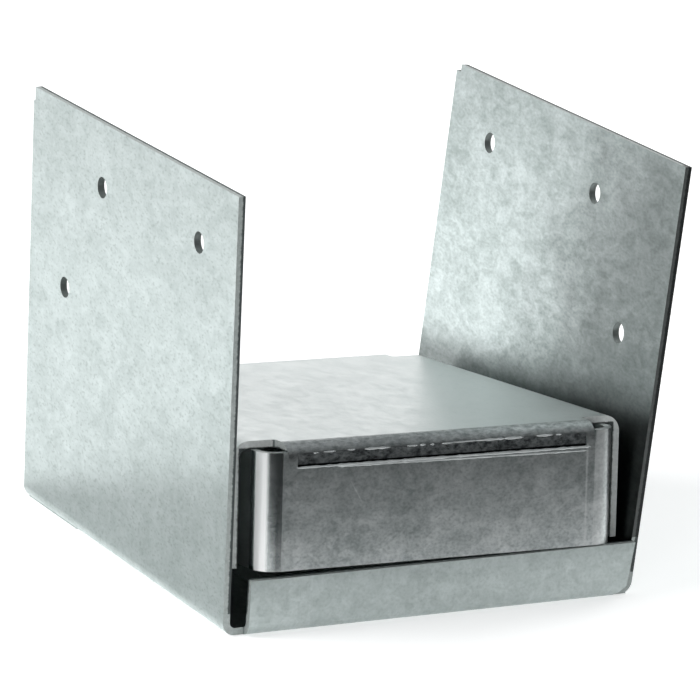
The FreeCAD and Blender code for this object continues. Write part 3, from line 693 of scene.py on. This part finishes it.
# the last layer is white: the painted highlights and the scratch
for mask, laid in ((fold, rubbed), (band, scraped), (cut, edge), (highlights_and_scratch, linear("#ffffff"))):
    colour = add_node(tree, "Mix", COLOUR, Factor=mask, A=colour, B=laid)
for mask, laid in ((polished, POLISHED_ROUGH), (fold, WORKED_ROUGH), (cut, WORKED_ROUGH)):
    rough = add_node(tree, "Mix", Factor=mask, A=rough, B=laid)
matt = add_node(tree, "Math", {"operation": "MAXIMUM"}, _0=cut, _1=highlights_and_scratch)
metallic = add_node(tree, "Mix", Factor=matt, A=1.0, B=EDGE_METAL)
coated_metal(tree, colour, metallic, rough, relief)
print(pan_steel.name, "has", len(tree.nodes), "nodes")

# %% [markdown]
# ## The bearing plate's finish
# The washer is cut from thicker sheet of the same kind and lies hidden under the pan. A flat grey
# would do for the little that shows, but the same coat costs only one call and matches the
# bracket.

# %% Bearing plate's finish
# mill galvanised steel, with the coat the same in all directions
plate_steel, tree = new_material("mill_galvanised_plate_steel")
place = add_node(tree, "TexCoord").outputs["Object"]
coat, rough, relief = zinc_coat(
    tree, place, rolled=(1.0, 1.0, 1.0), zinc=BRACKET_ZINC, contrast=1.0, flecks=0.3
)
coated_metal(tree, coat, 1.0, rough, relief)
print(plate_steel.name, "has", len(tree.nodes), "nodes")

# %% [markdown]
# ## The finishes onto the parts
# The parts come in as finished solids, so their meshes stay untouched, and only what is in
# their material slots is changed. They could be copied and the copies finished, but then two of
# each would have to be kept in step.

# %% Finishes onto the parts
finishes = {
    "base_bracket": bracket_steel, "standoff_pan": pan_steel, "bearing_plate": plate_steel,
}
for name, material in finishes.items():
    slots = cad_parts[name].data.materials
    slots.clear()
    slots.append(material)
    print(name, "is", material.name)

# %% [markdown]
# ## Burnished zinc
# Where the die squeezed the coat up it is smeared smooth and bright, with fine scores along the
# rub. It is half way between a mirror and matt metal. The pan's material could be used again, but
# it has its own patches, so the squeezed metal gets a small one: one noise, drawn out along the
# fold, gives both the colour and the roughness.

# %% Burnished zinc
BURNISHED_SCORE = 0.5 * MM

# zinc rubbed by a steel die: bright and streaked, its pale streaks smoother than its dull ones
burnished, tree = new_material("burnished_zinc")
place = add_node(tree, "TexCoord").outputs["Object"]
drawn = add_node(tree, "Mapping", Vector=place, Scale=(0.15, 1.0, 1.0))
scores = add_node(tree, "TexNoise", Vector=drawn, Scale=1 / BURNISHED_SCORE, Detail=2.0)
colour = add_node(tree, "Mix", COLOUR, Factor=scores, A=linear("#e3e6e5"), B=linear("#a2a8a9"))
rough = add_node(tree, "MapRange", Value=scores, To_Min=0.2, To_Max=0.45)
metal = add_node(tree, "BsdfPrincipled", Base_Color=colour, Metallic=0.4, Roughness=rough)
add_node(tree, "OutputMaterial", Surface=metal)
print(burnished.name, "has", len(tree.nodes), "nodes")

# %% [markdown]
# ## Raised metal along the band
# The die also pushed metal up: two thin ridges under the wiped band, and torn slivers along its
# top. Bump could only shade them, but they stand proud, catch the light and cast a shadow, so
# they are modelled. A curve with a round bevel would be too even. Here a ring of eight points is
# extruded step by step, thicker and thinner at random, and runs out thin at both ends. All of it
# is drawn on the level pan and then laid onto the tipped one.

# %% One bead of raised metal
BEAD_STEP = 0.9 * MM
BEAD_TIP = 0.3  # how thick a bead's ends are, as a share of its thickness
BEAD_UNEVEN = 0.6, 1.25
BEAD_SIDES = 8


def raised_line(shape, draw, start, end, heights, thickness, face):
    """Adds one bead from start to end along the pan, between the heights of its two ends."""
    radius = BEAD_TIP * thickness
    made = bmesh.ops.create_circle(shape, cap_ends=True, segments=BEAD_SIDES, radius=radius)
    bmesh.ops.rotate(shape, verts=made["verts"], matrix=Matrix.Rotation(math.pi / 2, 3, "Y"))
    middle = Vector((start, face, heights[0]))
    bmesh.ops.translate(shape, verts=made["verts"], vec=middle)
    cap = made["verts"][0].link_faces[0]
    steps = max(3, round((end - start) / BEAD_STEP))
    stride = Vector(((end - start) / steps, 0, (heights[1] - heights[0]) / steps))
    for step in range(1, steps + 1):
        grown = bmesh.ops.extrude_face_region(shape, geom=[cap])["geom"]
        if step > 1:  # the old cap would stay inside, except the first, which closes the start
            bmesh.ops.delete(shape, geom=[cap], context="FACES_ONLY")
        ring = [item for item in grown if isinstance(item, bmesh.types.BMVert)]
        cap = next(item for item in grown if isinstance(item, bmesh.types.BMFace))
        bmesh.ops.translate(shape, verts=ring, vec=stride)
        middle += stride
        wanted = thickness * (BEAD_TIP if step == steps else draw.uniform(*BEAD_UNEVEN))
        growth = wanted / radius
        bmesh.ops.scale(
            shape, verts=ring, vec=(1, growth, growth), space=Matrix.Translation(-middle)
        )
        radius = wanted


trial = bmesh.new()
raised_line(trial, random.Random(0), 0, 9 * MM, (0, 0), 0.3 * MM, 0)
print("a 9 mm bead has", len(trial.faces), "faces")
trial.free()

# %% [markdown]
# ## Beads onto the pan
# On the real pan the beads are part of the sheet. The part's own mesh stays as it is, so the
# beads are two new pieces, hung under the root body's empty and finished in burnished zinc. They
# could be drawn where the tipped pan is, but their sizes are simple only on the level one, so they
# get the pan's own turn and place last.

# %% Beads onto the pan
PAN_LIE = Matrix.Translation(PAN_PLACE) @ PAN_TURN.to_matrix().to_4x4()


def beads_onto_pan(name, shape):
    """Lays the beads onto the tipped pan and makes them one piece."""
    bmesh.ops.transform(shape, matrix=PAN_LIE, verts=shape.verts)
    bmesh.ops.recalc_face_normals(shape, faces=shape.faces)
    open_edges = sum(not edge.is_manifold for edge in shape.edges)
    for face in shape.faces:
        face.smooth = True
    mesh = bpy.data.meshes.new(name)
    shape.to_mesh(mesh)
    shape.free()
    item = bpy.data.objects.new(name, mesh)
    bpy.context.scene.collection.objects.link(item)
    item.data.materials.append(burnished)
    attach(item, "root")
    print(name, "has", len(mesh.polygons), "faces and", open_edges, "open edges")


print("the pan lies at, mm:", [round(value / MM, 2) for value in PAN_LIE.translation])

# %% [markdown]
# ## Ridges under the band
# Under the painted black shade line at the band's foot the wiped metal stands up in two thin
# ridges, almost as long as the flange is wide. They start close together at the left and part
# towards the right, so one wide bead couldn't follow both, and each is drawn as a bead of its own.

# %% Ridges under the band
# start, end, height at the start, height at the end and thickness, in mm on the level pan
RIDGES = (
    (-33.3, 34.0, 20.6, 20.5, 0.28),
    (-24.0, 33.2, 20.3, 19.75, 0.22),
)

shape = bmesh.new()
draw = random.Random(3)
for start, end, low, high, thickness in RIDGES:
    heights = low * MM, high * MM
    raised_line(shape, draw, start * MM, end * MM, heights, thickness * MM, -PAN_HALF)
beads_onto_pan("band_ridge", shape)

# %% [markdown]
# ## Slivers along the band's top
# Along the band's top the metal tore off in short slivers, some touching and some apart. They
# could be strewn at random, but the eye knows the band by their uneven rhythm of long and short,
# so each is listed, and only its height strays a little.

# %% Slivers along the band's top
# start, end and thickness, in mm on the level pan
SLIVERS = (
    (-29.5, -28.4, 0.15), (-27.2, -24.5, 0.24), (-21.9, -20.1, 0.20), (-18.0, -12.2, 0.27),
    (-8.4, -5.9, 0.24), (-5.5, -4.2, 0.23), (-3.2, -2.2, 0.20), (-0.4, 2.0, 0.20),
    (2.0, 7.4, 0.15), (7.4, 14.0, 0.24), (14.0, 18.3, 0.27), (21.4, 25.2, 0.27),
    (25.9, 27.2, 0.15),
)
SLIVER_HEIGHT = 23.35  # mm
SLIVER_STRAY = 0.08  # mm
SLIVER_FACE = 0.9 * BAND_DEPTH - PAN_HALF  # nearly on the band's ground

shape = bmesh.new()
draw = random.Random(8)
for start, end, thickness in SLIVERS:
    height = (SLIVER_HEIGHT + draw.uniform(-SLIVER_STRAY, SLIVER_STRAY)) * MM
    raised_line(
        shape, draw, start * MM, end * MM, (height, height), thickness * MM, SLIVER_FACE
    )
beads_onto_pan("band_slivers", shape)

# %% [markdown]
# ## Boards for the studio
# The floor, the flag and the cards round the bracket are all flat boards that differ only in size
# and place. Each could be modelled alone, but one function makes them all, and marks each as part
# of the studio and not of the post base. Another works out how a thing is turned to look along a
# way, which the lamps need too.

# %% Boards
FLOOR_SIDE = 8.0  # metres, as are all the studio's sizes


def turned(place, way):
    """The matrix that brings a thing to its place and turns its Z axis along the way."""
    return Matrix.Translation(place) @ way.to_track_quat("Z", "Y").to_matrix().to_4x4()


def flat_board(name, width, height, place, facing):
    """A flat board whose middle is at the place, and which is part of the studio."""
    board = bmesh.new()
    bmesh.ops.create_grid(board, x_segments=1, y_segments=1, size=0.5)
    size = Matrix.Diagonal((width, height, 1, 1))
    lie = turned(Vector(place), Vector(facing))
    bmesh.ops.transform(board, matrix=lie @ size, verts=board.verts)
    mesh = bpy.data.meshes.new(name)
    board.to_mesh(mesh)
    board.free()
    item = bpy.data.objects.new(name, mesh)
    bpy.context.scene.collection.objects.link(item)
    item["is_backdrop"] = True
    print(name, "is", width, "x", height, "m")
    return item


floor = flat_board("floor", FLOOR_SIDE, FLOOR_SIDE, (0, 0, 0), (0, 0, 1))

# %% [markdown]
# ## The floor's paper
# The bracket stands on pale paper. Metal shows the room more than it shows the lamps, so the
# floor matters twice: as background, and in every reflection. More lamp light would make the
# paper white but bleach the zinc. Instead the paper glows a little, and only for rays from the
# camera, from mirrors and through glass, so that it throws no light of its own and keeps the
# bracket's shadow.

# %% Floor paper
GLOW_NEAR, GLOW_FAR = 0.5, 0.1
GLOW_FADE = 0.65, 1.3  # the glow fades between these distances from the bracket

# matt paper: its fibres scatter light all ways, so it has no shine
floor_paper, tree = new_material("floor_paper")
rays = add_node(tree, "LightPath").outputs
seen = rays["Is Camera Ray"]
for ray in ("Is Glossy Ray", "Is Transmission Ray"):
    seen = add_node(tree, "Math", {"operation": "MAXIMUM"}, _0=seen, _1=rays[ray])
place = add_node(tree, "TexCoord").outputs["Object"]
away = add_node(tree, "VectorMath", {"operation": "LENGTH"}, _0=place)
strength = add_node(
    tree, "MapRange", Value=away, From_Min=GLOW_FADE[0], From_Max=GLOW_FADE[1], To_Min=GLOW_NEAR,
    To_Max=GLOW_FAR,
)
paper = add_node(tree, "BsdfPrincipled", Base_Color=linear("#f1f2f2"), Roughness=0.9)
glow = add_node(tree, "Emission", Color=linear("#ffffff"), Strength=strength)
lit = add_node(tree, "AddShader", _0=paper, _1=glow)
mix = add_node(tree, "MixShader", _0=seen, _1=paper, _2=lit)
add_node(tree, "OutputMaterial", Surface=mix)
floor.data.materials.append(floor_paper)
print(floor_paper.name, "glows with", GLOW_NEAR, "near the bracket")

# %% [markdown]
# ## A dark flag
# In a bright room polished metal goes white and flat. A studio hangs up black cloth, called a
# flag, where the metal mirrors it. This one stands behind the camera and gives the faces that
# look forward their depth, while less light would darken every face alike. It is hidden from the
# camera and throws no shadow: only the metal sees it.

# %% Dark flag


def only_in_reflections(board):
    """Hides a board from the camera, and takes its shadow and its bounced light away."""
    board.visible_camera = False
    board.visible_diffuse = False
    board.visible_shadow = False


# black cloth: its nap swallows nearly all light
flag_cloth, tree = new_material("black_flag_cloth")
cloth = add_node(tree, "BsdfPrincipled", Base_Color=linear("#16181a"), Roughness=0.9)
add_node(tree, "OutputMaterial", Surface=cloth)

flag = flat_board("dark_flag", 5.0, 2.4, (0.9, -1.5, 1.2), (0, 1, 0))
flag.data.materials.append(flag_cloth)
only_in_reflections(flag)

# %% [markdown]
# ## A cloth of painted shade in front
# What stands in front of the metal shades it. On the floor before the bracket lies a cloth that
# only the metal sees, going from white to near black: painted shade for the bracket's shadow on
# the floor in front and the dim room beyond. So the front lip and the pan's front flange darken
# towards their tops, where they mirror what is further off. A gradient on the coat alone could
# fake that, but it would look the same from every side.

# %% Front cloth
CLOTH_FADE = -0.075, -0.24  # the cloth goes from pale to dark between these, towards the front

# a cloth of painted shade, pale at one end and dark at the other, and quite matt
shade_cloth, tree = new_material("shade_cloth")
place = add_node(tree, "TexCoord").outputs["Object"]
ahead = add_node(tree, "SeparateXYZ", Vector=place).outputs["Y"]
fade = add_node(tree, "MapRange", Value=ahead, From_Min=CLOTH_FADE[0], From_Max=CLOTH_FADE[1])
# painted shade: the cloth darkens away from the bracket
shade = add_node(tree, "Mix", COLOUR, Factor=fade, A=linear("#f4f4f4"), B=linear("#17191a"))
matt = add_node(tree, "BsdfDiffuse", Color=shade)
add_node(tree, "OutputMaterial", Surface=matt)

front_cloth = flat_board("front_cloth", 4.0, 1.375, (0, -0.7625, 0.4 * MM), (0, 0, 1))
front_cloth.data.materials.append(shade_cloth)
only_in_reflections(front_cloth)

# %% [markdown]
# ## A white paper at the left
# A sheet of white paper on the floor keeps the foot of the left leg bright, as any pale thing
# beside it would. One more lamp could do that too, but it would also brighten the floor, and the
# paper, which only reflections see, does not.

# %% Left paper
# plain white paper, with no shine
white_paper, tree = new_material("white_paper")
matt = add_node(tree, "BsdfDiffuse", Color=linear("#f4f4f4"))
add_node(tree, "OutputMaterial", Surface=matt)

left_paper = flat_board("left_paper", 0.2, 0.255, (-0.149, -0.0725, 0.5 * MM), (0, 0, 1))
left_paper.data.materials.append(white_paper)
only_in_reflections(left_paper)

# %% [markdown]
# ## The room
# Round the floor stands a room: a grey ceiling above a low pale wall, which is white behind the
# bracket to the right and greyer to the left and behind the camera. It could be built from
# boards, but nothing of it is near enough to matter as a shape, so the world's background paints
# it by direction.

# %% Room
SIDE_WALL, BRIGHT_WALL, CEILING = "#a0a4a4", "#ffffff", "#8a8d8e"
WALL_TOP = 0.27, 0.55  # heights of a direction over which the wall goes over into the ceiling
BRIGHT_WAY = 0.8, 0.6, 0.0
BRIGHT_FADE = -0.2, 0.7  # from the side wall's shade to white, turning towards the bright way

world = bpy.data.worlds.new("studio")
bpy.context.scene.world = world
world.use_nodes = True
tree = world.node_tree
tree.nodes.clear()
direction = add_node(tree, "TexCoord").outputs["Generated"]
toward = add_node(tree, "VectorMath", {"operation": "DOT_PRODUCT"}, _0=direction, _1=BRIGHT_WAY)
fade = add_node(tree, "MapRange", Value=toward, From_Min=BRIGHT_FADE[0], From_Max=BRIGHT_FADE[1])
wall = add_node(tree, "Mix", COLOUR, Factor=fade, A=linear(SIDE_WALL), B=linear(BRIGHT_WALL))
height = add_node(tree, "SeparateXYZ", Vector=direction).outputs["Z"]
fade = add_node(tree, "MapRange", Value=height, From_Min=WALL_TOP[0], From_Max=WALL_TOP[1])
shade = add_node(tree, "Mix", COLOUR, Factor=fade, A=wall, B=linear(CEILING))
room = add_node(tree, "Background", Color=shade, Strength=1.0)
add_node(tree, "OutputWorld", Surface=room)
print("the room's nodes:", len(tree.nodes))

# %% [markdown]
# ## The lamps
# Three soft boxes light the bracket: a strong one high at the left, a weak one at the right, and
# one low in front that lifts the front faces. Small lamps would leave hard shadows and hot spots
# on metal. The front one would show as a bright square in the pan's front flange, so reflections
# leave it out.

# %% Lamps
MIDDLE = Vector((0, 0, 0.04))  # what the lamps look at
# name, place, side, watts, and whether the metal mirrors it
SOFT_BOXES = (
    ("key_left", (-0.9, 0.3, 0.9), 0.8, 13.0, True),
    ("fill_right", (1.1, 0.5, 0.6), 0.6, 4.0, True),
    ("front_fill", (-0.9, -1.1, 0.35), 0.6, 6.0, False),
)

for name, place, side, watts, mirrored in SOFT_BOXES:
    data = bpy.data.lights.new(name, "AREA")
    data.shape = "SQUARE"
    data.size = side
    data.energy = watts
    lamp = bpy.data.objects.new(name, data)
    bpy.context.scene.collection.objects.link(lamp)
    lamp.matrix_world = turned(Vector(place), Vector(place) - MIDDLE)
    lamp.visible_glossy = mirrored
    print(name, "gives", watts, "W from", round((Vector(place) - MIDDLE).length, 2), "m")

# %% [markdown]
# ## Sizes
# The ridges and slivers are the only new shapes, and could have grown past the solid parts. The
# box round everything is set beside the box round the parts alone, and how far it has grown is
# printed.

# %% Sizes and finish
bpy.context.scene.view_settings.view_transform = "Standard"
now_low, now_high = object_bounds()
grown = [round((now - cad) / MM, 3) for now, cad in zip(now_high - now_low, cad_high - cad_low)]
print("grown beyond the parts in mm:", grown)
